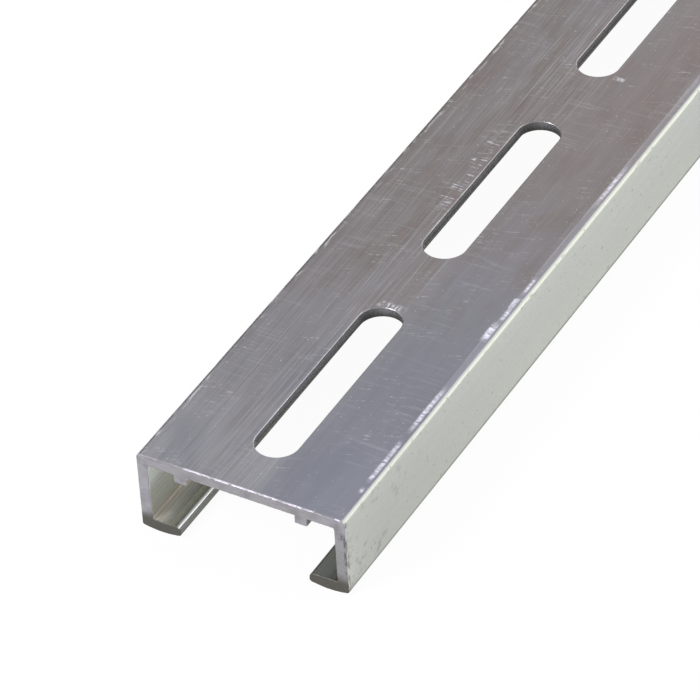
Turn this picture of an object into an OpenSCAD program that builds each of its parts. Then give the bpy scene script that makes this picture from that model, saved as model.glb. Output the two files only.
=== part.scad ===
// Slotted mounting rail: one length of extruded aluminium C-section, lying web up on its two lips.
// Length runs along X, width along Y, and the lips rest on the plane Z = 0.

/* [Stock] */
// Length of the stock between its two sawn ends
rail_l = 1000; // [150:1:3000]
// Overall width across the two side walls
rail_w = 25; // [20:0.5:45]
// Overall height from the crown of the lips to the face of the web
rail_h = 10; // [7:0.1:25]

/* [Walls] */
// Thickness of the slotted web
web_t = 1.3; // [1:0.1:3]
// Thickness of each side wall
wall_t = 1.3; // [1:0.1:2.5]
// Radius of the two long outer edges beside the web
edge_r = 0.4; // [0.1:0.05:0.8]
// Radius of the fillets inside, where each wall meets the web and its lip
root_r = 0.3; // [0.1:0.05:0.8]

/* [Lips] */
// Reach of each lip, from the outer face of its wall to its tip
lip_reach = 4.7; // [3.5:0.1:6]
// Thickness of each lip at its crown
lip_t = 1.4; // [1.1:0.1:2.5]
// Rise of the crowned underside of a lip between its edges
lip_crown = 0.3; // [0.1:0.05:0.4]
// Radius of the long edges of a lip's underside
lip_edge_r = 0.4; // [0.2:0.05:0.6]

/* [Ribs] */
// Width of each rib under the web
rib_w = 1.5; // [0.8:0.1:2.5]
// Depth of each rib below the web
rib_h = 1; // [0.4:0.1:2]
// Distance from the outer face of the rail to the near side of a rib
rib_inset = 4.5; // [3.5:0.1:5]

/* [Slots] */
// Width of each slot
slot_w = 5; // [3:0.1:6.5]
// Length of each slot over its round ends
slot_l = 27; // [12:0.5:34]
// Distance between the centres of neighbouring slots
slot_pitch = 37; // [36:0.5:60]
// Least length of solid web between a sawn end and the nearest slot
end_land = 5.5; // [3:0.5:20]

/* [Hidden] */
$fn = 96;

cut_over = 1;
half_w = rail_w / 2;
web_under = rail_h - web_t;
wall_inside = half_w - wall_t;
lip_tip = half_w - lip_reach;
rib_outside = half_w - rib_inset;

// A lip's crown is one arc whose chord is the lip's reach, with a smaller arc tangent inside it at each edge.
lip_middle = half_w - lip_reach / 2;
crown_r = (pow(lip_reach / 2, 2) + pow(lip_crown, 2)) / (2 * lip_crown);
edge_off = lip_reach / 2 - lip_edge_r;
edge_z = crown_r - sqrt(pow(crown_r - lip_edge_r, 2) - pow(edge_off, 2));
crown_half = edge_off * crown_r / (crown_r - lip_edge_r);

slot_count = floor((rail_l - 2 * end_land - slot_l) / slot_pitch) + 1;
first_slot = -(slot_count - 1) * slot_pitch / 2;

// The scrap between a square corner at the origin and an arc tangent to both of its sides.
module spandrel(r) {
    difference() {
        square(r);
        translate([r, r]) circle(r);
    }
}

// One lip and the wall above it, up to the underside of the web, with the crown at Z = 0.
module half_lip() {
    intersection() {
        translate([lip_middle, crown_r]) circle(crown_r);
        translate([lip_middle - crown_half, 0]) square([2 * crown_half, lip_t]);
    }
    for (side = [-1, 1])
        translate([lip_middle + side * edge_off, edge_z]) circle(lip_edge_r);
    translate([lip_tip, edge_z]) square([lip_reach, lip_t - edge_z]);
}

// Half of the cross-section, on the side of positive Y, drawn with Y across and Z up.
module half_section() {
    half_lip();
    translate([wall_inside, edge_z]) square([wall_t, web_under - edge_z]);
    difference() {
        translate([0, web_under]) square([half_w, web_t]);
        translate([half_w, rail_h]) rotate(180) spandrel(edge_r);
    }
    translate([rib_outside - rib_w, web_under - rib_h]) square([rib_w, rib_h]);
    translate([wall_inside, web_under]) rotate(180) spandrel(root_r);
    translate([wall_inside, lip_t]) rotate(90) spandrel(root_r);
}

module section() {
    half_section();
    mirror([1, 0]) half_section();
}

// The extrusion before it is slotted, centred along X.
module bare_length() {
    translate([-rail_l / 2, 0, 0])
        rotate([90, 0, 90])
            linear_extrude(rail_l) section();
}

// The path of a slotting cutter through the web, with round ends.
module slot_cut() {
    end_shift = (slot_l - slot_w) / 2;
    cut_h = web_t + 2 * cut_over;
    translate([0, 0, web_under - cut_over]) {
        for (side = [-1, 1])
            translate([side * end_shift, 0, 0]) cylinder(h = cut_h, d = slot_w);
        translate([-end_shift, -slot_w / 2, 0]) cube([2 * end_shift, slot_w, cut_h]);
    }
}

module rail() {
    color("#a9a9ad")
        difference() {
            bare_length();
            for (i = [0 : slot_count - 1])
                translate([first_slot + i * slot_pitch, 0, 0]) slot_cut();
        }
}

rail();
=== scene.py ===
"""Looks of a slotted mounting rail: one length of mill-finish aluminium C-section, lying web up on its lips."""

import logging
import math
from collections.abc import Callable
from dataclasses import dataclass, field
from enum import Enum, IntEnum

import bpy
from mathutils import Matrix, Vector


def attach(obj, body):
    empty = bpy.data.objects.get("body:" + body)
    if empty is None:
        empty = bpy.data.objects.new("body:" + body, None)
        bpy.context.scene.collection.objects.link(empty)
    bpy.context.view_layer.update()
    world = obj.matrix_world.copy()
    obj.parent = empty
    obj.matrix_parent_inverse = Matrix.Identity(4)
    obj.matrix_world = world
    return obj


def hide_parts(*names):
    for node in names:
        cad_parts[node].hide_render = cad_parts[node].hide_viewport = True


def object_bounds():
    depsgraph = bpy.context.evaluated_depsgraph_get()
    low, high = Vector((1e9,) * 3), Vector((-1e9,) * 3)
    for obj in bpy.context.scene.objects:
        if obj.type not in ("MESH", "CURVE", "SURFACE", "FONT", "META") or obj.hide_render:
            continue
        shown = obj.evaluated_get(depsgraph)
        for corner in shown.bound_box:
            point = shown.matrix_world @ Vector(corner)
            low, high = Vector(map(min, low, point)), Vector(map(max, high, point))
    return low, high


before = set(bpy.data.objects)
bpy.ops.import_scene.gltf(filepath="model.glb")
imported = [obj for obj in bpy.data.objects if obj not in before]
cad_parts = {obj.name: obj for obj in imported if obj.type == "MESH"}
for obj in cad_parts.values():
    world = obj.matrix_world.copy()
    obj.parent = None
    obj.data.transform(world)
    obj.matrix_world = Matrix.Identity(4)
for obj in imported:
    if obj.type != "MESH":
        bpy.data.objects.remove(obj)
CAD_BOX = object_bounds()

MM = 0.001
# Points closer together than this, in metres, are the same point.
TINY = 1e-6
QUARTER = math.pi / 2
# Least upward share of a face's normal where the face lies level, and where it looks more up than sideways.
LEVEL, UPWARD = 0.9, 0.7
# Least share that makes a face slant towards an axis, and greatest upward share of an upright face.
SLANT, UPRIGHT = 0.25, 0.3

log = logging.getLogger("rail")


class Axis(IntEnum):
    """The three axes, in the order of a vector's values."""

    X = 0
    Y = 1
    Z = 2


X, Y, Z = Axis


class Part(Enum):
    """The kinds of mesh part that can be picked, with Blender's names for them."""

    VERTEX = "VERT"
    EDGE = "EDGE"
    FACE = "FACE"


class Surface(Enum):
    """The kinds of surface on the rail, in the order of its material slots."""

    WEB_FACE = 0
    SIDE_WALL = 1
    CHANNEL = 2
    SAWN_END = 3
    SLOT_CUT = 4
    SAW_EDGE = 5


def linear(hex_colour: str) -> tuple[float, float, float, float]:
    """Turns an sRGB hex colour into the linear colour that a shader takes.

    Args:
        hex_colour: Six hex digits, with or without a leading hash.

    Returns:
        Linear red, green and blue, and an alpha of 1.
    """
    digits = hex_colour.lstrip("#")
    channels = [int(digits[i:i + 2], 16) / 255 for i in (0, 2, 4)]
    red, green, blue = (c / 12.92 if c <= 0.04045 else ((c + 0.055) / 1.055) ** 2.4 for c in channels)
    return red, green, blue, 1.0


def add_node(tree: bpy.types.NodeTree, kind: str, inputs: dict[str | int, object],
             **settings: object) -> bpy.types.Node:
    """Adds one node, with its settings, values and links.

    Args:
        tree: The node tree that takes the node.
        kind: The node's type name.
        inputs: A value or an output socket for each named or numbered input.
        **settings: Properties of the node itself.

    Returns:
        The new node.
    """
    node = tree.nodes.new(kind)
    for name, value in settings.items():
        setattr(node, name, value)
    for name, value in inputs.items():
        if isinstance(value, bpy.types.NodeSocket):
            tree.links.new(value, node.inputs[name])
        else:
            node.inputs[name].default_value = value
    return node


def deselect_all() -> None:
    """Leaves object mode with nothing selected."""
    if bpy.context.object and bpy.context.object.mode != "OBJECT":
        bpy.ops.object.mode_set(mode="OBJECT")
    bpy.ops.object.select_all(action="DESELECT")


def make_active(piece: bpy.types.Object) -> None:
    """Selects one object alone and makes it the active one.

    Args:
        piece: The object.
    """
    deselect_all()
    piece.select_set(True)
    bpy.context.view_layer.objects.active = piece


def near(value: float, goal: float, reach: float = TINY) -> bool:
    """Tells whether a value lies within reach of another."""
    return abs(value - goal) < reach


def pick(piece: bpy.types.Object, part: Part, wanted: Callable[..., bool]) -> int:
    """Selects, in edit mode, the parts of a mesh that a test accepts.

    Args:
        piece: The object being edited.
        part: The kind of part, which is also the select mode that it leaves.
        wanted: A test of one vertex's place, of an edge's two places, or of a face's centre and normal.

    Returns:
        How many parts it selected.
    """
    bpy.ops.mesh.select_mode(type=part.value)
    bpy.ops.mesh.select_all(action="DESELECT")
    bpy.ops.object.mode_set(mode="OBJECT")
    mesh = piece.data
    if part is Part.VERTEX:
        chosen = [v for v in mesh.vertices if wanted(v.co)]
    elif part is Part.EDGE:
        chosen = [e for e in mesh.edges if wanted(*(mesh.vertices[i].co for i in e.vertices))]
    else:
        chosen = [f for f in mesh.polygons if wanted(f.center, f.normal)]
    for found in chosen:
        found.select = True
    bpy.ops.object.mode_set(mode="EDIT")
    return len(chosen)


def apply_modifier(piece: bpy.types.Object, kind: str, **settings: object) -> None:
    """Adds one modifier and applies it to the mesh.

    Args:
        piece: The object that takes it.
        kind: The modifier's type name.
        **settings: Properties of the modifier.
    """
    make_active(piece)
    modifier = piece.modifiers.new(kind.title(), kind)
    for name, value in settings.items():
        setattr(modifier, name, value)
    bpy.ops.object.modifier_apply(modifier=modifier.name)


class OutlinePen:
    """Draws a section's outline in edit mode, in a plane across X, from one vertex that it extrudes and spins."""

    def __init__(self, name: str, x: float, y: float, z: float) -> None:
        """Starts the outline.

        Args:
            name: Name of the new object.
            x: Place of the section's plane.
            y: First point's place across the rail.
            z: First point's height.
        """
        deselect_all()
        bpy.ops.mesh.primitive_plane_add(size=MM, location=(x, y, z))
        self.piece = bpy.context.object
        self.piece.name = self.piece.data.name = name
        bpy.ops.object.transform_apply(location=True, rotation=True, scale=True)
        bpy.ops.object.mode_set(mode="EDIT")
        bpy.ops.mesh.select_all(action="SELECT")
        bpy.ops.mesh.merge(type="CENTER")
        bpy.ops.mesh.select_mode(type="VERT")
        self.x = x
        self.place = Vector((y, z))

    def line(self, y: float, z: float) -> None:
        """Extrudes the last point in a straight line to a new one.

        Args:
            y: The new point's place across the rail.
            z: The new point's height.
        """
        step = Vector((y, z)) - self.place
        bpy.ops.mesh.extrude_region_move(TRANSFORM_OT_translate={"value": (0, step.x, step.y)})
        self.place = Vector((y, z))

    def arc(self, y: float, z: float, turn: float, steps: int) -> None:
        """Spins the last point about a centre.

        Args:
            y: The centre's place across the rail.
            z: The centre's height.
            turn: Angle in radians, positive from +Y towards +Z.
            steps: Number of segments.
        """
        # Spin turns the left-handed way about its axis, so the axis points down the rail.
        bpy.ops.mesh.spin(steps=steps, angle=turn, center=(self.x, y, z), axis=(-1, 0, 0))
        centre = Vector((y, z))
        self.place = centre + Matrix.Rotation(turn, 2) @ (self.place - centre)

    def done(self) -> bpy.types.Object:
        """Leaves edit mode and returns the outline's object."""
        bpy.ops.object.mode_set(mode="OBJECT")
        return self.piece


@dataclass
class RailSection:
    """The rail's cross-section, in metres, with Z up from the floor and Y measured from the middle.

    Attributes:
        width: Overall width.
        height: Overall height.
        web: Thickness of the web.
        wall: Thickness of a side wall.
        edge_radius: Rounding of the web's two outer edges.
        root_radius: Rounding of the corners inside the channel.
        lip_reach: How far a lip reaches in from the rail's side.
        lip_thickness: Height of a lip's flat upper face.
        lip_crown: How far a lip's underside bows out.
        lip_edge_radius: Rounding of both sides of that underside.
        lip_corner: Rounding of a lip's upper edge.
        rib_width: Width of a rib under the web.
        rib_depth: Height of a rib.
        rib_inset: Distance from the rail's side to a rib.
        rib_corner: Rounding of a rib's two lower corners.
        arc_steps: Segments in a small arc.
        crown_steps: Segments in a lip's wide arc.
        rib_steps: Segments in a rib's corner.
    """

    width: float
    height: float
    web: float = 1.3 * MM
    wall: float = 1.3 * MM
    edge_radius: float = 0.5 * MM
    root_radius: float = 0.15 * MM
    lip_reach: float = 4.7 * MM
    lip_thickness: float = 1.4 * MM
    lip_crown: float = 0.3 * MM
    lip_edge_radius: float = 0.25 * MM
    lip_corner: float = 0.55 * MM
    rib_width: float = 1.5 * MM
    rib_depth: float = 1.0 * MM
    rib_inset: float = 4.5 * MM
    rib_corner: float = 0.12 * MM
    arc_steps: int = 6
    crown_steps: int = 12
    rib_steps: int = 2

    @property
    def web_under(self) -> float:
        """Height of the web's underside."""
        return self.height - self.web

    def draw(self, name: str, x: float) -> bpy.types.Object:
        """Draws the closed outline of the section.

        Args:
            name: Name of the new object.
            x: Place of the outline along the rail.

        Returns:
            The object, which holds one closed loop of edges.
        """
        half = self.width / 2
        inside = half - self.wall
        tip = half - self.lip_reach
        pen = OutlinePen(name, x, 0, self.height)
        pen.line(half - self.edge_radius, self.height)
        pen.arc(half - self.edge_radius, self.height - self.edge_radius, -QUARTER, self.arc_steps)
        self.draw_crown(pen, half)
        pen.line(tip, self.lip_thickness - self.lip_corner)
        pen.arc(tip + self.lip_corner, self.lip_thickness - self.lip_corner, -QUARTER, self.arc_steps)
        pen.line(inside - self.root_radius, self.lip_thickness)
        pen.arc(inside - self.root_radius, self.lip_thickness + self.root_radius, QUARTER, self.arc_steps)
        pen.line(inside, self.web_under - self.root_radius)
        pen.arc(inside - self.root_radius, self.web_under - self.root_radius, QUARTER, self.arc_steps)
        self.draw_rib(pen, half - self.rib_inset)
        pen.line(0, self.web_under)
        outline = pen.done()
        apply_modifier(outline, "MIRROR", use_axis=(False, True, False), merge_threshold=TINY)
        return outline

    def draw_crown(self, pen: OutlinePen, half: float) -> None:
        """Draws a lip's crowned underside, one wide arc between two small ones that touch it inside.

        Args:
            pen: The pen, which stands on the outer face of the wall.
            half: Half of the rail's width.
        """
        middle = half - self.lip_reach / 2
        radius = ((self.lip_reach / 2) ** 2 + self.lip_crown**2) / (2 * self.lip_crown)
        small = self.lip_edge_radius
        offset = self.lip_reach / 2 - small
        lean = math.asin(offset / (radius - small))
        level = radius - (radius - small) * math.cos(lean)
        pen.line(half, level)
        pen.arc(middle + offset, level, lean - QUARTER, self.arc_steps)
        pen.arc(middle, radius, -2 * lean, self.crown_steps)
        pen.arc(middle - offset, level, lean - QUARTER, self.arc_steps)

    def draw_rib(self, pen: OutlinePen, outer: float) -> None:
        """Draws the small square rib under the web, with its two lower corners eased.

        Args:
            pen: The pen, which stands on the web's underside outside the rib.
            outer: Place of the rib's outer side.
        """
        foot = self.web_under - self.rib_depth
        ease = self.rib_corner
        inner = outer - self.rib_width
        pen.line(outer, self.web_under)
        pen.line(outer, foot + ease)
        pen.arc(outer - ease, foot + ease, -QUARTER, self.rib_steps)
        pen.line(inner + ease, foot)
        pen.arc(inner + ease, foot + ease, -QUARTER, self.rib_steps)
        pen.line(inner, self.web_under)


@dataclass
class SlotRow:
    """The row of round-ended slots along the middle of the web, in metres.

    Attributes:
        width: Width of a slot.
        length: Length of a slot.
        pitch: Distance from one slot to the next.
        end_land: Least distance from the rail's end to a slot.
        rim: Wear on a slot's upper edge.
        breakout: Ease that the punch leaves on its lower edge.
        lean: How far the first slot's lower edge is turned against its upper edge, in degrees.
        lean_fall: Share of that turn that the next slot keeps.
        end_steps: Segments in a quarter of a slot's end.
        rim_steps: Segments across the wear and the ease.
        rim_slack: How far a point may lie off a slot's outline and still count as on it.
        lean_reach: How far outside a slot its lower edge is turned.
        lean_depth: How far above the web's underside it is turned.
    """

    width: float = 5 * MM
    length: float = 27 * MM
    pitch: float = 37 * MM
    end_land: float = 5.5 * MM
    rim: float = 0.13 * MM
    breakout: float = 0.25 * MM
    lean: float = -1.0
    lean_fall: float = 0.62
    end_steps: int = 20
    rim_steps: int = 3
    rim_slack: float = 0.01 * MM
    lean_reach: float = 0.5 * MM
    lean_depth: float = 0.3 * MM

    def count(self, rail_length: float) -> int:
        """Gives how many slots a length of rail holds."""
        return math.floor((rail_length - 2 * self.end_land - self.length) / self.pitch + TINY) + 1

    def cutter(self, x: float, bottom: float, top: float) -> bpy.types.Object:
        """Makes the solid that cuts one slot.

        Args:
            x: Place of the slot's middle.
            bottom: Height of the cutter's lower end.
            top: Height of its upper end.

        Returns:
            A block whose four upright edges are rounded until its ends are half circles.
        """
        deselect_all()
        bpy.ops.mesh.primitive_cube_add(size=1, location=(x, 0, (bottom + top) / 2))
        block = bpy.context.object
        block.scale = (self.length, self.width, top - bottom)
        bpy.ops.object.transform_apply(location=True, rotation=True, scale=True)
        bpy.ops.object.mode_set(mode="EDIT")
        pick(block, Part.EDGE, lambda a, b: not near(a.z, b.z))
        bpy.ops.mesh.bevel(offset=self.width / 2, segments=self.end_steps, affect="EDGES")
        bpy.ops.mesh.select_all(action="SELECT")
        bpy.ops.mesh.remove_doubles(threshold=TINY)
        bpy.ops.mesh.normals_make_consistent(inside=False)
        bpy.ops.object.mode_set(mode="OBJECT")
        return block

    def on_rim(self, place: Vector, x: float) -> bool:
        """Tells whether a point lies on the outline of the slot whose middle is at x."""
        run = max(abs(place.x - x) - (self.length - self.width) / 2, 0)
        return near(math.hypot(run, place.y), self.width / 2, self.rim_slack)


@dataclass(frozen=True)
class Grain:
    """A cloudy pattern with grains of one size, cut between two levels.

    Attributes:
        size_mm: Length of a grain along X, Y and Z, in millimetres.
        low: Level of the pattern that gives 0.
        high: Level that gives 1.
        shift: How far the pattern is moved, in grains, so that two of the same size differ.
        detail: How much finer pattern lies over the grains.
        turn: How far the grains are turned about Z, in degrees from +X towards +Y.
    """

    size_mm: tuple[float, float, float]
    low: float = 0.3
    high: float = 0.7
    shift: float = 0.0
    detail: float = 2.0
    turn: float = 0.0

    def add(self, tree: bpy.types.NodeTree, where: bpy.types.NodeSocket) -> bpy.types.NodeSocket:
        """Adds the pattern to a material.

        Args:
            tree: The material's node tree.
            where: Object coordinates in metres.

        Returns:
            A value from 0 to 1.
        """
        size = tuple(length * MM for length in self.size_mm)
        placed = add_node(tree, "ShaderNodeMapping", {
            "Vector": where, "Scale": size, "Location": tuple(-self.shift * length for length in size),
            "Rotation": (0, 0, math.radians(self.turn))}, vector_type="TEXTURE")
        noise = add_node(tree, "ShaderNodeTexNoise", {"Vector": placed.outputs[0], "Scale": 1, "Detail": self.detail})
        return add_node(tree, "ShaderNodeMapRange", {
            "Value": noise.outputs["Fac"], "From Min": self.low, "From Max": self.high}).outputs["Result"]


@dataclass(frozen=True)
class Fade:
    """A soft limit along one axis: 1 on one side of it and 0 on the other.

    Attributes:
        axis: The axis that the limit lies across.
        full: Where it becomes 1, in millimetres.
        none: Where it becomes 0, in millimetres.
    """

    axis: Axis
    full: float
    none: float

    def add(self, tree: bpy.types.NodeTree, where: bpy.types.NodeSocket) -> bpy.types.NodeSocket:
        """Adds the limit to a material.

        Args:
            tree: The material's node tree.
            where: Object coordinates in metres.

        Returns:
            A value from 0 to 1.
        """
        parts = add_node(tree, "ShaderNodeSeparateXYZ", {0: where})
        return add_node(tree, "ShaderNodeMapRange", {
            "Value": parts.outputs[self.axis], "From Min": self.none * MM, "From Max": self.full * MM},
            interpolation_type="SMOOTHSTEP").outputs["Result"]


def band(axis: Axis, start: float, end: float, soft: float) -> tuple[Fade, Fade]:
    """Gives the two limits of a band across one axis.

    Args:
        axis: The axis that the band lies across.
        start: Where the band begins, in millimetres.
        end: Where it ends.
        soft: How wide the fade is outside each side.

    Returns:
        The limit at its start and the limit at its end.
    """
    return Fade(axis, start, start - soft), Fade(axis, end, end + soft)


@dataclass(frozen=True)
class Mark:
    """A family of marks: a colour laid over the metal where all its masks meet.

    Attributes:
        colour: Colour of the marks.
        strength: How much of the metal below they hide.
        masks: Patterns and limits that say where the marks are, or none where they are all over.
        scatter: How far the marks scatter light, as torn metal does, rather than mirror it.
    """

    colour: str
    strength: float
    masks: tuple[Grain | Fade, ...]
    scatter: float = 0.0

    def cover(self, tree: bpy.types.NodeTree, where: bpy.types.NodeSocket, under: bpy.types.NodeSocket,
              shine: bpy.types.NodeSocket | float) -> tuple[bpy.types.NodeSocket, bpy.types.NodeSocket | float]:
        """Lays the marks over a colour.

        Args:
            tree: The material's node tree.
            where: Object coordinates in metres.
            under: The colour below.
            shine: How metallic it is below.

        Returns:
            The colour with the marks on it, and how metallic it is.
        """
        share = self.strength
        for mask in self.masks:
            share = add_node(tree, "ShaderNodeMath", {0: mask.add(tree, where), 1: share},
                             operation="MULTIPLY").outputs[0]
        colour = add_node(tree, "ShaderNodeMix", {0: share, 6: under, 7: linear(self.colour)},
                          data_type="RGBA").outputs[2]
        if self.scatter:
            lost = add_node(tree, "ShaderNodeMath", {0: share, 1: -self.scatter}, operation="MULTIPLY").outputs[0]
            shine = add_node(tree, "ShaderNodeMath", {0: shine, 1: lost, 2: shine},
                             operation="MULTIPLY_ADD").outputs[0]
        return colour, shine


@dataclass(frozen=True)
class Finish:
    """Bare aluminium: a soft grey metal shine, with the marks and the fine relief that its making left, and painted
    light and shade on some faces.

    Attributes:
        name: Name of the material.
        colour: Colour of the clean metal.
        roughness: How matt it is.
        marks: What lies over the clean metal, from the bottom up.
        relief: Pattern of the fine relief.
        depth_mm: Depth of the relief.
        drawn: How far the shine is drawn out across the lines that run along the rail.
        relief_share: How strongly the relief shows.
    """

    name: str
    colour: str
    roughness: float
    marks: tuple[Mark, ...]
    relief: Grain
    depth_mm: float
    drawn: float = 0.0
    relief_share: float = 0.6

    def make(self) -> bpy.types.Material:
        """Makes the material, on Object coordinates.

        Returns:
            The new material.
        """
        material = bpy.data.materials.new(self.name)
        material.use_nodes = True
        tree = material.node_tree
        tree.nodes.clear()
        where = add_node(tree, "ShaderNodeTexCoord", {}).outputs["Object"]
        colour = add_node(tree, "ShaderNodeRGB", {}).outputs[0]
        colour.default_value = linear(self.colour)
        shine = 1.0
        for mark in self.marks:
            colour, shine = mark.cover(tree, where, colour, shine)
        relief = self.relief.add(tree, where)
        bump = add_node(tree, "ShaderNodeBump", {
            "Strength": self.relief_share, "Distance": self.depth_mm * MM, "Height": relief})
        along = add_node(tree, "ShaderNodeCombineXYZ", {"X": 1.0})
        shader = add_node(tree, "ShaderNodeBsdfPrincipled", {
            "Base Color": colour, "Metallic": shine, "Roughness": self.roughness, "Anisotropic": self.drawn,
            "Tangent": along.outputs[0], "Normal": bump.outputs[0]})
        add_node(tree, "ShaderNodeOutputMaterial", {"Surface": shader.outputs[0]})
        return material


# Along the rail, marks have the frame's own places: the near end is at -500, and left is +Y as seen from there.
# Clean metal in a fresh scratch, dirt and shade in a fine groove, and a thin brown stain.
BRIGHT, DULL, STAIN = "#f4f4fc", "#6c6c72", "#a09188"
# Lines that the die draws along the whole rail. Real ones are finer than 0.1 mm, too fine to show, so they are
# drawn 0.16 mm wide.
DIE_LINES = Grain((45, 0.16, 0.16), 0.3, 0.7, detail=4)
# Short rubbed streaks, 7 mm long, from rails that slide over each other in a bundle.
RUBBED = Grain((7, 0.24, 0.24), 0.42, 0.66, 9, detail=3)
# Tooth lines of a circular saw. Real ones are about 0.1 mm wide, too fine to show, so they are drawn 0.18 mm wide.
SAW_LINES = Grain((1, 1.4, 0.18), 0.3, 0.7, 2)


def web_tones() -> tuple[Mark, ...]:
    """Gives the broad tones of the web's upper face, which is cool near the sawn end and warmer further on.

    Returns:
        The marks, from the bottom up.
    """
    stains = Grain((7, 3, 3), 0.48, 0.66, 2)
    return (
        Mark("#b3b1b7", 0.8, (Fade(X, -478, -497),)),
        Mark("#aba1a0", 0.95, (Fade(X, -440, -485), Grain((90, 20, 20), 0.2, 0.5, 7))),
        Mark("#a6a8b5", 0.8, (Fade(Y, -5, 0), Fade(X, -482, -430))),
        Mark("#b0b3c4", 0.6, (Fade(Y, -7, -2), Fade(X, -494, -480))),
        Mark(STAIN, 0.34, (stains, Fade(X, -460, -475))),
        Mark(STAIN, 0.2, (stains, Fade(Y, 4, 0))),
        Mark("#9c9fb0", 0.35, (Grain((12, 4, 4), 0.52, 0.66, 12), Fade(X, -485, -462))),
    )


def web_lines() -> tuple[Mark, ...]:
    """Gives the lines that run along the web: the die's own, rubbed streaks and long scratches.

    Returns:
        The marks, from the bottom up.
    """
    streaks = Grain((6, 0.2, 0.2), 0.52, 0.68, 21, 3)
    long_scratches = Grain((40, 0.14, 0.14), 0.62, 0.72, 1)
    return (
        Mark(DULL, 0.07, (DIE_LINES,)),
        Mark(DULL, 0.13, (DIE_LINES, Fade(Y, 1, -4))),
        Mark(DULL, 0.05, (RUBBED,)),
        Mark(DULL, 0.1, (RUBBED, Fade(Y, 3, -3))),
        Mark(BRIGHT, 0.16, (streaks, Grain((14, 6, 6), 0.4, 0.6, 5), Fade(Y, 0, -4))),
        Mark(BRIGHT, 0.07, (streaks, Fade(X, -450, -470))),
        # Wide shaded bands that the die leaves where the metal runs unevenly.
        Mark(DULL, 0.07, (Grain((160, 1.3, 1.3), 0.38, 0.66, 3),)),
        # Rubbed track along the middle, between the slots and to their left.
        Mark(BRIGHT, 0.26, (Grain((14, 0.14, 0.14), 0.56, 0.7, 5), Fade(Y, 4, 6.5), Fade(Y, -1, -3))),
        Mark(BRIGHT, 0.14, (long_scratches, Fade(Y, 1, -3))),
        Mark(BRIGHT, 0.05, (long_scratches,)),
    )


def web_scratches() -> tuple[Mark, ...]:
    """Gives the short handling scratches across the web, and the dents and rubs beside its slots.

    Returns:
        The marks, from the bottom up.
    """
    return (
        Mark(BRIGHT, 0.16, (Grain((0.35, 6, 6), 0.56, 0.7, 2), Grain((13, 8, 8), 0.45, 0.6, 4))),
        # Slanting scratches, broken into short runs.
        Mark(BRIGHT, 0.4, (Grain((0.22, 5, 5), 0.62, 0.7, 17, 2, 21),
                           Grain((1.2, 0.5, 0.5), 0.44, 0.56, 3, 2, 21),
                           Grain((6, 9, 9), 0.42, 0.54, 9)), 0.3),
        Mark(BRIGHT, 0.32, (Grain((0.26, 1.4, 1.4), 0.6, 0.72, 6, 3, 6), Grain((5, 3, 3), 0.54, 0.66, 8)), 0.4),
        # Ladder of rubs on the left of the second slot.
        Mark("#ecebfa", 0.8, (Grain((0.26, 3, 3), 0.52, 0.64, 14, 3), Grain((2.2, 0.8, 0.8), 0.44, 0.6, 11),
                              *band(X, -448.5, -436.3, 1), *band(Y, 3.2, 4.3, 0.6)), 0.5),
        # Torn rim past the far end of the first slot.
        Mark(BRIGHT, 0.7, (Grain((0.9, 0.3, 0.3), 0.45, 0.6, 8, 3), *band(X, -467.3, -466.9, 0.5),
                           *band(Y, -1.2, 1.2, 0.8)), 0.7),
        # Nick on the right of the third slot.
        Mark(BRIGHT, 0.65, (Grain((0.3, 0.45, 0.45), 0.36, 0.62, 6, 3), *band(X, -419.95, -419.65, 0.35),
                            *band(Y, -3.9, -3.1, 0.5)), 0.6),
        # Pin-prick dents all over.
        Mark(BRIGHT, 0.5, (Grain((0.27, 0.27, 0.27), 0.8, 0.84, 9, 0),), 0.6),
    )


def edge_scuffs() -> tuple[Mark, ...]:
    """Gives the torn bright scuffs on the web close to its right edge, in runs with soft ends.

    Returns:
        The marks, from the bottom up.
    """
    # Where each run starts and ends along the rail, how soft its ends are, and how far in it reaches.
    runs = (
        (-495.1, -495.0, 0.6, -11.55), (-492.4, -487.6, 1.6, -11.5), (-483.0, -478.6, 2.5, -11.5),
        (-467.2, -465.6, 1.2, -11.2), (-463.6, -462.6, 1.0, -11.6), (-461.5, -460.6, 0.7, -11.4),
        (-458.4, -457.0, 1.2, -11.65), (-439.0, -437.0, 4.0, -11.6))
    torn_and_glint = Grain((0.36, 0.9, 0.9), 0.28, 0.64, 3, 4)
    return tuple(
        Mark("#f0eeff", 1.0, (torn_and_glint, *band(X, start, end, soft), *band(Y, -11.72, inner, 0.26)), 0.9)
        for start, end, soft, inner in runs)


def web_edges() -> tuple[Mark, ...]:
    """Gives the worn strips and scuffs along the web's two outer edges, and a painted highlight on the right one.

    Returns:
        The marks, from the bottom up.
    """
    past_cut = Fade(X, -478, -482)
    return (
        Mark("#dfe1f0", 0.3, (Fade(Y, -11.45, -11.3), past_cut, Grain((40, 0.5, 0.5), 0.1, 0.5, 4))),
        Mark(BRIGHT, 0.35, (*band(Y, -11.42, -11.36, 0.06), past_cut, Grain((8, 1, 1), 0.4, 0.5, 7))),
        *edge_scuffs(),
        # Scattered scuffs along the rest of the right edge.
        Mark(BRIGHT, 0.5, (Grain((0.45, 0.7, 0.7), 0.3, 0.58, 3, 3), Grain((6, 1.2, 1.2), 0.48, 0.58, 5),
                           *band(Y, -11.9, -11.35, 0.2), Fade(X, -400, -430)), 0.6),
        # The rounded edge itself, tinted to set the colour and strength of its shine, a pale line: a painted
        # highlight.
        Mark("#c0c4bb", 0.9, (Fade(Y, -12.22, -12.12), Grain((3, 0.5, 0.5), 0.1, 0.4, 2))),
        # Broken bright line along the left edge.
        Mark(BRIGHT, 0.6, (Grain((2.5, 0.4, 0.4), 0.56, 0.66, 6), Fade(Y, 11.9, 11.5)), 0.4),
    )


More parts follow.
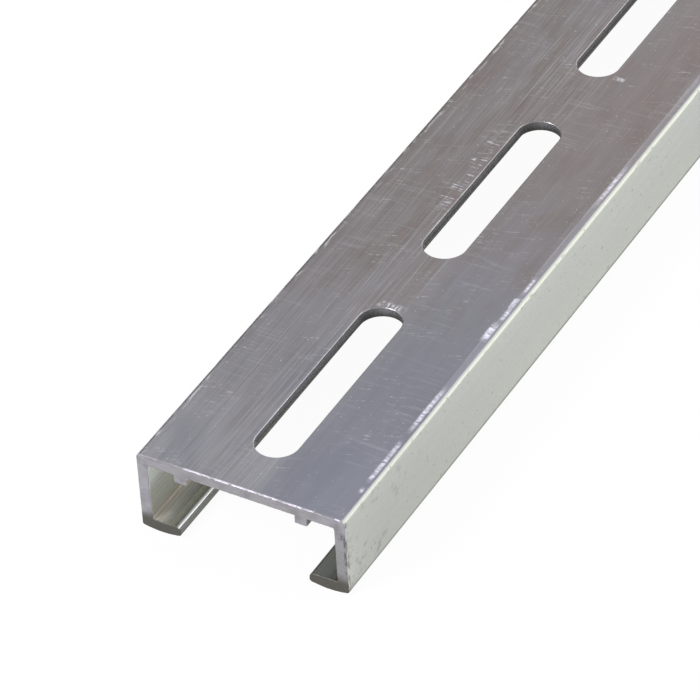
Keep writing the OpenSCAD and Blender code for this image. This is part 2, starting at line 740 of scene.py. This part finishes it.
def wall_marks() -> tuple[Mark, ...]:
    """Gives the marks on the outer side walls.

    Returns:
        The marks, from the bottom up.
    """
    return (
        # Paler towards the floor, with the die's lines and a fine mottle all over.
        Mark("#dee2da", 0.8, (Fade(Z, 0, 8.5),)),
        Mark(DULL, 0.1, (DIE_LINES,)),
        Mark(DULL, 0.08, (Grain((0.3, 0.3, 0.3), 0.4, 0.7, 6),)),
        # Pale line along the upper edge, a painted highlight colour on its rounding, with dull chips; and a dull line
        # along the lower edge, painted shade where the wall meets the floor.
        Mark("#d0d5c7", 0.9, (Fade(Z, 9.65, 9.5),)),
        Mark("#8f9280", 0.6, (Fade(Z, 9.65, 9.5), Grain((1.2, 0.3, 0.3), 0.6, 0.68, 3))),
        Mark("#77796c", 0.8, (Fade(Z, 0.5, 0.8),)),
        Mark("#b4b5b1", 0.3, (Fade(X, -495, -455),)),
        # Small dark specks, smudges near the sawn end, and a ragged dark line right at the cut that is painted shadow
        # of the burr there.
        Mark("#7d7f76", 0.5, (Grain((0.5, 0.4, 0.4), 0.78, 0.82, 3, 0),)),
        Mark(DULL, 0.42, (Grain((1.2, 0.8, 0.8), 0.52, 0.68, 2, 4), Grain((5, 4, 4), 0.46, 0.56, 3),
                          Fade(X, -496, -480))),
        Mark("#6a6a64", 0.7, (Grain((0.5, 0.9, 0.9), 0.46, 0.6, 4, 3), Fade(X, -499.9, -499.6))),
    )


def channel_marks() -> tuple[Mark, ...]:
    """Gives the tones and lines inside the channel; most of its tones are painted light and shade.

    Returns:
        The marks, from the bottom up.
    """
    on_lips, lip_edge = Fade(Z, 1.5, 2), Fade(Z, 1.15, 1.05)
    return (
        # The walls' inner faces, the web's underside, and the lips' upper faces, palest close to the left wall:
        # painted light, each face lightened to the brightness that light gives it inside the channel.
        Mark("#d4d8d2", 1.0, (Fade(Y, 11, 10.6), Fade(Z, 2, 1.5))),
        Mark("#e6ebe8", 1.0, (Fade(Z, 8.5, 8.3),)),
        Mark("#cdcdc5", 1.0, (Fade(Y, 8.2, 7.6), on_lips)),
        Mark("#f2ede4", 1.0, (Fade(Y, 10.4, 8.4), on_lips), 0.3),
        Mark("#fff0d0", 0.4, (Grain((80, 0.22, 0.22), 0.56, 0.64, 8), Fade(Y, 8.8, 8.5), on_lips), 0.3),
        # Long lines that the die left, some warm and some bright.
        Mark(DULL, 0.16, (DIE_LINES,)),
        Mark("#c29c7c", 0.45, (Grain((60, 0.4, 0.4), 0.6, 0.68, 4),)),
        Mark(BRIGHT, 0.4, (Grain((60, 0.3, 0.3), 0.6, 0.7, 2), Fade(Y, 4, 0))),
        # The right rib's outer side, and the tip of the left lip: painted shade on its face and a painted white
        # highlight along its upper edge.
        Mark("#a3a2a0", 1.0, (*band(Y, -8.1, -7.97, 0.03), *band(Z, 7.6, 8.75, 0.05)), 0.9),
        Mark("#7e7f7a", 1.0, (*band(Y, 7.0, 8.0, 0.2), Fade(Z, 1.05, 1.15)), 0.6),
        Mark("#ffffff", 1.0, (*band(Y, 7.0, 8.24, 0.08), lip_edge), 0.25),
    )


def sawn_marks() -> tuple[Mark, ...]:
    """Gives the marks on the sawn faces, with painted shade on their lower parts.

    Returns:
        The marks, from the bottom up.
    """
    return (
        Mark("#7a777c", 0.6, (Grain((1, 1.6, 1.6), 0.45, 0.65, 6),)),
        # Painted shade: the lower part of the right wall's end face is darker.
        Mark("#84847f", 0.5, (Fade(Y, -10, -8), Fade(Z, 5, 8.5))),
        Mark("#b0aeb6", 0.3, (Fade(Y, 11, 10.6), *band(Z, 3, 6, 1.5))),
        Mark("#9a999a", 0.4, (*band(Y, -8, 8, 1.5), Fade(Z, 8.6, 8))),
        Mark("#c8c6ce", 0.16, (SAW_LINES,)),
        # Dirty crack in the right wall, and a dirty line down its outer edge.
        Mark("#5f5d60", 0.8, (Grain((1, 0.5, 0.5), 0.36, 0.5, 5, 3), Fade(Y, -12.1, -11.8),
                              *band(Z, 7.7, 8.0, 0.2))),
        Mark("#5f5d60", 0.75, (Grain((1, 0.3, 0.9), 0.36, 0.5, 3, 3), Fade(Y, -12.32, -12.18),
                               *band(Z, 3.2, 7.2, 0.6))),
        # The lips, darker all over: painted shade.
        Mark("#5a5851", 0.9, (Fade(Z, 1.3, 2.6),)),
    )


def saw_edge_marks() -> tuple[Mark, ...]:
    """Gives the marks on the saw cut's upper edge: matt all over, with a bright line that is a painted glint, and one
    bright chip.

    Returns:
        The marks, from the bottom up.
    """
    torn_and_glint = "#ece5f4"
    return (
        Mark("#94929a", 1.0, (), 0.85),
        # The bright line across most of the edge is a painted glint.
        Mark(torn_and_glint, 0.92, (Grain((0.9, 0.9, 0.9), 0.24, 0.56, 5, 3), *band(Y, -8.4, 6.2, 0.8)), 0.85),
        Mark(torn_and_glint, 0.8, (*band(Y, -11.8, -11.5, 0.3),), 0.85),
    )


def slot_marks() -> tuple[Mark, ...]:
    """Gives the marks on a slot's walls: darker below, with fine upright lines from the punch.

    Returns:
        The marks, from the bottom up.
    """
    return (
        Mark("#5a5b56", 0.9, (Fade(Z, 8.9, 9.7),)),
        Mark(BRIGHT, 0.07, (Grain((0.3, 0.3, 2), 0.45, 0.65, 3),)),
    )


def rail_finishes() -> dict[Surface, Finish]:
    """Gives the finish of each kind of surface.

    Returns:
        The finishes, which are all of bare aluminium and differ by how each surface was made, and by painted light
        and shade.
    """
    web_marks = (*web_tones(), *web_lines(), *web_scratches(), *web_edges())
    return {
        # Mill-finish extruded aluminium, rubbed by stacking and handling: a soft grey shine drawn out by the die's
        # lines, with short bright scratches across it.
        Surface.WEB_FACE: Finish("mill_aluminium_web", "#c2c1c9", roughness=0.34, marks=web_marks,
                                 relief=DIE_LINES, depth_mm=0.007, drawn=0.4),
        # The same metal on the sides, which are handled less: even, pale and clean, with a few dark specks.
        Surface.SIDE_WALL: Finish("mill_aluminium_wall", "#d0d2ce", roughness=0.34, marks=wall_marks(),
                                  relief=DIE_LINES, depth_mm=0.01, drawn=0.4),
        # The same metal inside the channel, where nothing rubs it: smoother, so that walls and lips mirror each other
        # in long streaks. Its darker colour is painted shade.
        Surface.CHANNEL: Finish("mill_aluminium_channel", "#949592", roughness=0.16, marks=channel_marks(),
                                relief=DIE_LINES, depth_mm=0.01, drawn=0.4),
        # Aluminium cut by a circular saw: flat grey with faint tooth lines, and no clear reflection.
        Surface.SAWN_END: Finish("sawn_aluminium", "#a3a1a8", roughness=0.5, marks=sawn_marks(),
                                 relief=SAW_LINES, depth_mm=0.05),
        # The upper edge of the saw cut, broken by the teeth and by handling and matt, with a thin, ragged, bright
        # line along it that is a painted glint.
        Surface.SAW_EDGE: Finish("sawn_edge_aluminium", "#94929a", roughness=0.5, marks=saw_edge_marks(),
                                 relief=SAW_LINES, depth_mm=0.02),
        # Aluminium sheared by a punch: dark and matt, and a little brighter where the tool went in.
        Surface.SLOT_CUT: Finish("punched_aluminium", "#929296", roughness=0.5, marks=slot_marks(),
                                 relief=Grain((0.25, 0.25, 1.5)), depth_mm=0.02),
    }


@dataclass
class Rail:
    """The rail itself: its section, its slots and its two sawn ends.

    Attributes:
        low: Lowest corner of the rail's box.
        high: Highest corner of the rail's box.
        slots: The row of slots.
        saw_chamfer: Break of the sawn edges.
        saw_steps: Segments across that break.
        worn_strip: Width of the strip of web beside a saw cut that is worn with its edge.
        burr: How ragged the sawn edges are.
        burr_step: Greatest length of a straight run in a ragged edge.
        burr_reach: How far from the cut the edge is ragged.
        skew: How far a cut is out of square across the rail.
        skew_reach: How far from the cut the metal goes with it.
        smooth_angle: Greatest angle in degrees over which a rounded edge shades smoothly.
    """

    low: Vector
    high: Vector
    slots: SlotRow = field(default_factory=SlotRow)
    saw_chamfer: float = 0.09 * MM
    saw_steps: int = 3
    worn_strip: float = 0.18 * MM
    burr: float = 0.03 * MM
    burr_step: float = 0.3 * MM
    burr_reach: float = 0.081 * MM
    skew: float = 0.3 * MM
    skew_reach: float = 0.36 * MM
    smooth_angle: float = 35.0

    def __post_init__(self) -> None:
        """Takes the section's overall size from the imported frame."""
        # The crown of the lips is an arc, so the frame's box starts a hair above the plane that the rail rests on.
        self.section = RailSection(width=self.high.y - self.low.y, height=self.high.z)

    def build(self) -> bpy.types.Object:
        """Models the rail: one slotted pitch, repeated along the length and closed with a sawn face at each end.

        Returns:
            The rail's object, in object mode.
        """
        length = self.high.x - self.low.x
        count = self.slots.count(length)
        start = -count * self.slots.pitch / 2
        rail = self.one_pitch(start)
        apply_modifier(rail, "ARRAY", count=count, use_relative_offset=False, use_constant_offset=True,
                       constant_offset_displace=(self.slots.pitch, 0, 0), use_merge_vertices=True,
                       merge_threshold=TINY)
        bpy.ops.object.mode_set(mode="EDIT")
        for number in range(count):
            self.lean_slot(rail, start + (number + 0.5) * self.slots.pitch,
                           self.slots.lean * self.slots.lean_fall**number)
        self.saw(rail, start, self.low.x, seed=1)
        self.saw(rail, -start, self.high.x, seed=2)
        bpy.ops.mesh.select_all(action="SELECT")
        bpy.ops.mesh.normals_make_consistent(inside=False)
        bpy.ops.object.mode_set(mode="OBJECT")
        return rail

    def one_pitch(self, x: float) -> bpy.types.Object:
        """Models one pitch of the rail, open at both ends.

        Args:
            x: Where the pitch starts.

        Returns:
            The object, with a slot through the middle of its web.
        """
        pitch = self.slots.pitch
        middle = x + pitch / 2
        top, under = self.section.height, self.section.web_under
        piece = self.section.draw("rail_stock", x)
        bpy.ops.object.mode_set(mode="EDIT")
        bpy.ops.mesh.select_all(action="SELECT")
        bpy.ops.mesh.edge_face_add()
        bpy.ops.mesh.extrude_region_move(TRANSFORM_OT_translate={"value": (pitch, 0, 0)})
        bpy.ops.mesh.select_all(action="SELECT")
        bpy.ops.mesh.normals_make_consistent(inside=False)
        cutter = self.slots.cutter(middle, under - MM, top + MM)
        apply_modifier(piece, "BOOLEAN", object=cutter, operation="DIFFERENCE", solver="EXACT")
        bpy.data.objects.remove(cutter)
        make_active(piece)
        bpy.ops.object.mode_set(mode="EDIT")
        for level, ease in ((top, self.slots.rim), (under, self.slots.breakout)):
            pick(piece, Part.EDGE, lambda a, b, level=level: all(
                near(v.z, level) and self.slots.on_rim(v, middle) for v in (a, b)))
            bpy.ops.mesh.bevel(offset=ease, segments=self.slots.rim_steps, affect="EDGES")
        pick(piece, Part.FACE, lambda c, n: near(c.x, x) or near(c.x, x + pitch))
        bpy.ops.mesh.delete(type="FACE")
        bpy.ops.object.mode_set(mode="OBJECT")
        return piece

    def lean_slot(self, rail: bpy.types.Object, x: float, lean: float) -> None:
        """Turns the torn lower edge of one slot a little against its clean upper edge, as the punch leaves it.

        Args:
            rail: The rail, in edit mode.
            x: Place of the slot's middle.
            lean: The turn in degrees, positive from +X towards +Y.
        """
        reach_x = self.slots.length / 2 + self.slots.lean_reach
        reach_y = self.slots.width / 2 + self.slots.lean_reach
        level = self.section.web_under + self.slots.lean_depth
        pick(rail, Part.VERTEX, lambda v: near(v.x, x, reach_x) and near(v.y, 0, reach_y) and v.z < level)
        bpy.ops.transform.rotate(value=-math.radians(lean), orient_axis="Z", center_override=(x, 0, 0))

    def saw(self, rail: bpy.types.Object, end: float, edge: float, seed: int) -> None:
        """Closes one end with a sawn face, whose edge is slightly broken and ragged with burr.

        Args:
            rail: The rail, in edit mode, open at this end.
            end: Where the open end is.
            edge: Where the sawn face goes.
            seed: Seed of the burr's unevenness.
        """
        inward = math.copysign(1, -edge)
        pick(rail, Part.VERTEX, lambda v: near(v.x, end))
        bpy.ops.transform.translate(value=(edge - end, 0, 0))
        bpy.ops.mesh.select_all(action="SELECT")
        bpy.ops.mesh.bisect(plane_co=(edge + inward * self.worn_strip, 0, 0), plane_no=(1, 0, 0))
        while pick(rail, Part.EDGE, lambda a, b: near(a.x, edge) and near(b.x, edge)
                   and (a - b).length > self.burr_step):
            bpy.ops.mesh.subdivide(number_cuts=1)
        pick(rail, Part.EDGE, lambda a, b: near(a.x, edge) and near(b.x, edge))
        bpy.ops.mesh.edge_face_add()
        pick(rail, Part.EDGE, lambda a, b: near(a.x, edge) and near(b.x, edge))
        bpy.ops.mesh.bevel(offset=self.saw_chamfer, segments=self.saw_steps, affect="EDGES")
        pick(rail, Part.VERTEX, lambda v: near(v.x, edge, self.burr_reach))
        bpy.ops.transform.vertex_random(offset=self.burr, seed=seed, wait_for_input=False)
        pick(rail, Part.VERTEX, lambda v: near(v.x, edge, self.skew_reach))
        bpy.ops.transform.rotate(value=self.skew / self.section.width, orient_axis="Z",
                                 center_override=(edge, self.section.width / 2, 0))

    def surface_of(self, centre: Vector, normal: Vector) -> Surface:
        """Tells which kind of surface a face belongs to, from its place and the way it looks.

        Args:
            centre: The face's centre.
            normal: The face's normal.

        Returns:
            The kind of surface.
        """
        section = self.section
        from_end = min(centre.x - self.low.x, self.high.x - centre.x)
        in_web = centre.z > section.web_under
        if normal.z > LEVEL and centre.z > section.height - TINY and from_end < self.worn_strip:
            return Surface.SAW_EDGE
        if abs(normal.x) > SLANT and from_end < MM:
            return Surface.SAW_EDGE if normal.z > SLANT and in_web else Surface.SAWN_END
        if centre.z > section.web_under + TINY and abs(centre.y) < self.slots.width / 2 + self.slots.rim:
            return Surface.SLOT_CUT if abs(normal.z) < UPRIGHT else Surface.WEB_FACE
        if normal.z > UPWARD and centre.z > section.height - section.edge_radius:
            return Surface.WEB_FACE
        if abs(centre.y) > section.width / 2 - section.edge_radius:
            return Surface.SIDE_WALL
        return Surface.CHANNEL

    def dress(self, rail: bpy.types.Object) -> None:
        """Gives each face its finish and smooths the rounded edges.

        Args:
            rail: The rail, in object mode.
        """
        finishes = rail_finishes()
        for surface in Surface:
            rail.data.materials.append(finishes[surface].make())
        for face in rail.data.polygons:
            face.material_index = self.surface_of(face.center, face.normal).value
        make_active(rail)
        bpy.ops.object.shade_smooth_by_angle(angle=math.radians(self.smooth_angle))
        apply_modifier(rail, "WEIGHTED_NORMAL", keep_sharp=True, weight=100)


@dataclass(frozen=True)
class Lamp:
    """One soft rectangular lamp.

    Attributes:
        name: Name of the lamp.
        way: Direction from what it lights to the lamp.
        distance: How far away it hangs, in metres.
        size: Its width and height, which are the same.
        power: Its power in watts.
    """

    name: str
    way: tuple[float, float, float]
    distance: float
    size: float
    power: float

    def hang(self, target: Vector) -> None:
        """Hangs the lamp, facing what it lights.

        Args:
            target: The point that it faces.
        """
        data = bpy.data.lights.new(self.name, "AREA")
        data.shape = "RECTANGLE"
        data.size = data.size_y = self.size
        data.energy = self.power
        lamp = bpy.data.objects.new(self.name, data)
        way = Vector(self.way)
        lamp.location = target + way.normalized() * self.distance
        lamp.rotation_euler = way.to_track_quat("Z", "Y").to_euler()
        bpy.context.collection.objects.link(lamp)


@dataclass(frozen=True)
class Studio:
    """A pale floor, a soft sky and two soft lamps.

    Attributes:
        aim: What the lamps face, close to the near end of the rail.
        lamps: The lamps. The first one lights the web and the right wall, and the second one the sawn end.
        floor_size: Side of the floor, in metres.
        floor_colour: Colour of the floor.
        floor_white: How much of the floor shows as plain white; the rest keeps the rail's shadow.
        floor_mirrored: How much of that white the metal mirrors.
        horizon: Height in the sky, as a sine, below which it is white.
        zenith: Height above which it is at its greyest.
        zenith_level: Brightness there.
        screen_way: Direction in which a dark screen stands, low beyond the rail's left side.
        screen_edge: Cosine of the angle from that direction at which the screen ends.
        screen_core: Cosine of the angle within which it is at its darkest.
        screen_level: Share of the light that the screen lets through.
    """

    aim: tuple[float, float, float] = (-0.475, 0.0, 0.0)
    lamps: tuple[Lamp, ...] = (
        Lamp("key_lamp", (0.632, -0.60, 0.49), distance=1.3, size=1.8, power=8.3),
        Lamp("fill_lamp", (-0.65, 0.42, 0.63), distance=1.5, size=0.6, power=17.0),
    )
    floor_size: float = 12.0
    floor_colour: str = "#f2f2f0"
    floor_white: float = 0.95
    floor_mirrored: float = 0.4
    horizon: float = 0.1
    zenith: float = 0.9
    zenith_level: float = 0.45
    screen_way: tuple[float, float, float] = (0.6, 0.79, 0.12)
    screen_edge: float = 0.84
    screen_core: float = 0.95
    screen_level: float = 0.12

    def build(self) -> None:
        """Sets the floor, the sky and the lamps."""
        self.lay_floor()
        self.set_sky()
        for lamp in self.lamps:
            lamp.hang(Vector(self.aim))
            log.info("%s: %.1f W", lamp.name, lamp.power)

    def lay_floor(self) -> None:
        """Lays a wide pale floor that shows white and keeps a faint shadow."""
        deselect_all()
        bpy.ops.mesh.primitive_plane_add(size=self.floor_size)
        floor = bpy.context.object
        floor.name = "floor"
        material = bpy.data.materials.new("pale_floor")
        material.use_nodes = True
        tree = material.node_tree
        tree.nodes.clear()
        path = add_node(tree, "ShaderNodeLightPath", {})
        mirrored = add_node(tree, "ShaderNodeMath", {0: path.outputs["Is Glossy Ray"], 1: self.floor_mirrored},
                            operation="MULTIPLY")
        seen = add_node(tree, "ShaderNodeMath", {0: path.outputs["Is Camera Ray"], 1: mirrored.outputs[0]},
                        operation="MAXIMUM")
        matte = add_node(tree, "ShaderNodeBsdfDiffuse", {"Color": linear(self.floor_colour)})
        white = add_node(tree, "ShaderNodeEmission", {"Strength": 1.0})
        share = add_node(tree, "ShaderNodeMath", {0: seen.outputs[0], 1: self.floor_white}, operation="MULTIPLY")
        both = add_node(tree, "ShaderNodeMixShader", {0: share.outputs[0], 1: matte.outputs[0], 2: white.outputs[0]})
        add_node(tree, "ShaderNodeOutputMaterial", {"Surface": both.outputs[0]})
        floor.data.materials.append(material)
        log.info("floor: %.0f m wide", self.floor_size)

    def set_sky(self) -> None:
        """Sets a soft sky, white at the horizon and greyer overhead, which the camera sees as plain white."""
        world = bpy.data.worlds.new("soft_sky")
        world.use_nodes = True
        tree = world.node_tree
        tree.nodes.clear()
        way = add_node(tree, "ShaderNodeTexCoord", {})
        height = add_node(tree, "ShaderNodeSeparateXYZ", {0: way.outputs["Generated"]})
        level = add_node(tree, "ShaderNodeMapRange", {
            "Value": height.outputs["Z"], "From Min": self.horizon, "From Max": self.zenith,
            "To Min": 1.0, "To Max": self.zenith_level})
        side = add_node(tree, "ShaderNodeVectorMath", {0: way.outputs["Generated"], 1: self.screen_way},
                        operation="DOT_PRODUCT")
        screen = add_node(tree, "ShaderNodeMapRange", {
            "Value": side.outputs["Value"], "From Min": self.screen_edge, "From Max": self.screen_core,
            "To Min": 1.0, "To Max": self.screen_level})
        shaded = add_node(tree, "ShaderNodeMath", {0: level.outputs[0], 1: screen.outputs[0]}, operation="MULTIPLY")
        path = add_node(tree, "ShaderNodeLightPath", {})
        seen = add_node(tree, "ShaderNodeMath", {0: shaded.outputs[0], 1: path.outputs["Is Camera Ray"]},
                        operation="MAXIMUM")
        light = add_node(tree, "ShaderNodeBackground", {"Color": (1, 1, 1, 1), "Strength": seen.outputs[0]})
        add_node(tree, "ShaderNodeOutputWorld", {"Surface": light.outputs[0]})
        bpy.context.scene.world = world


@dataclass(frozen=True)
class ProductCamera:
    """A long lens that looks down on one end of the rail, in metres and degrees.

    Attributes:
        setback: Distance from the near end to the point that it looks at.
        side: That point's place across the rail.
        azimuth: Direction of the camera round that point, from +X towards +Y.
        elevation: Its height above the horizon.
        roll: How far it is turned about its own line of sight.
        distance: How far it stands from that point.
        lens: Focal length in millimetres.
        sensor: Width of the sensor in millimetres.
        clip_start: Nearest distance that it sees.
    """

    setback: float = 24.49 * MM
    side: float = 0.54 * MM
    azimuth: float = 211.332
    elevation: float = 38.897
    roll: float = -3.743
    distance: float = 541.48 * MM
    lens: float = 262.08
    sensor: float = 36.0
    clip_start: float = 0.01

    def build(self, low: Vector, high: Vector) -> None:
        """Adds the camera and makes it the scene's own.

        Args:
            low: Lowest corner of the rail's box.
            high: Highest corner of the rail's box.
        """
        data = bpy.data.cameras.new("product_camera")
        data.lens = self.lens
        data.sensor_width = self.sensor
        data.clip_start = self.clip_start
        camera = bpy.data.objects.new("product_camera", data)
        bpy.context.collection.objects.link(camera)
        target = Vector((low.x + self.setback, self.side, high.z))
        azimuth, elevation = math.radians(self.azimuth), math.radians(self.elevation)
        way = Vector((math.cos(elevation) * math.cos(azimuth), math.cos(elevation) * math.sin(azimuth),
                      math.sin(elevation)))
        facing = way.to_track_quat("Z", "Y").to_matrix() @ Matrix.Rotation(math.radians(self.roll), 3, "Z")
        camera.location = target + way * self.distance
        camera.rotation_euler = facing.to_euler()
        bpy.context.scene.camera = camera
        log.info("%s: %.0f mm lens", camera.name, self.lens)


def main() -> None:
    """Builds the rail, its stage and its camera."""
    logging.basicConfig(level=logging.INFO, format="%(message)s")
    low, high = (Vector(corner) for corner in CAD_BOX)
    rail = Rail(low, high)
    stock = rail.build()
    rail.dress(stock)
    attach(stock, "root")
    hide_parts("rail")
    log.info("%s: %d faces", stock.name, len(stock.data.polygons))
    Studio().build()
    ProductCamera().build(low, high)
    bpy.context.scene.view_settings.view_transform = "Standard"


if __name__ == "__main__":
    main()
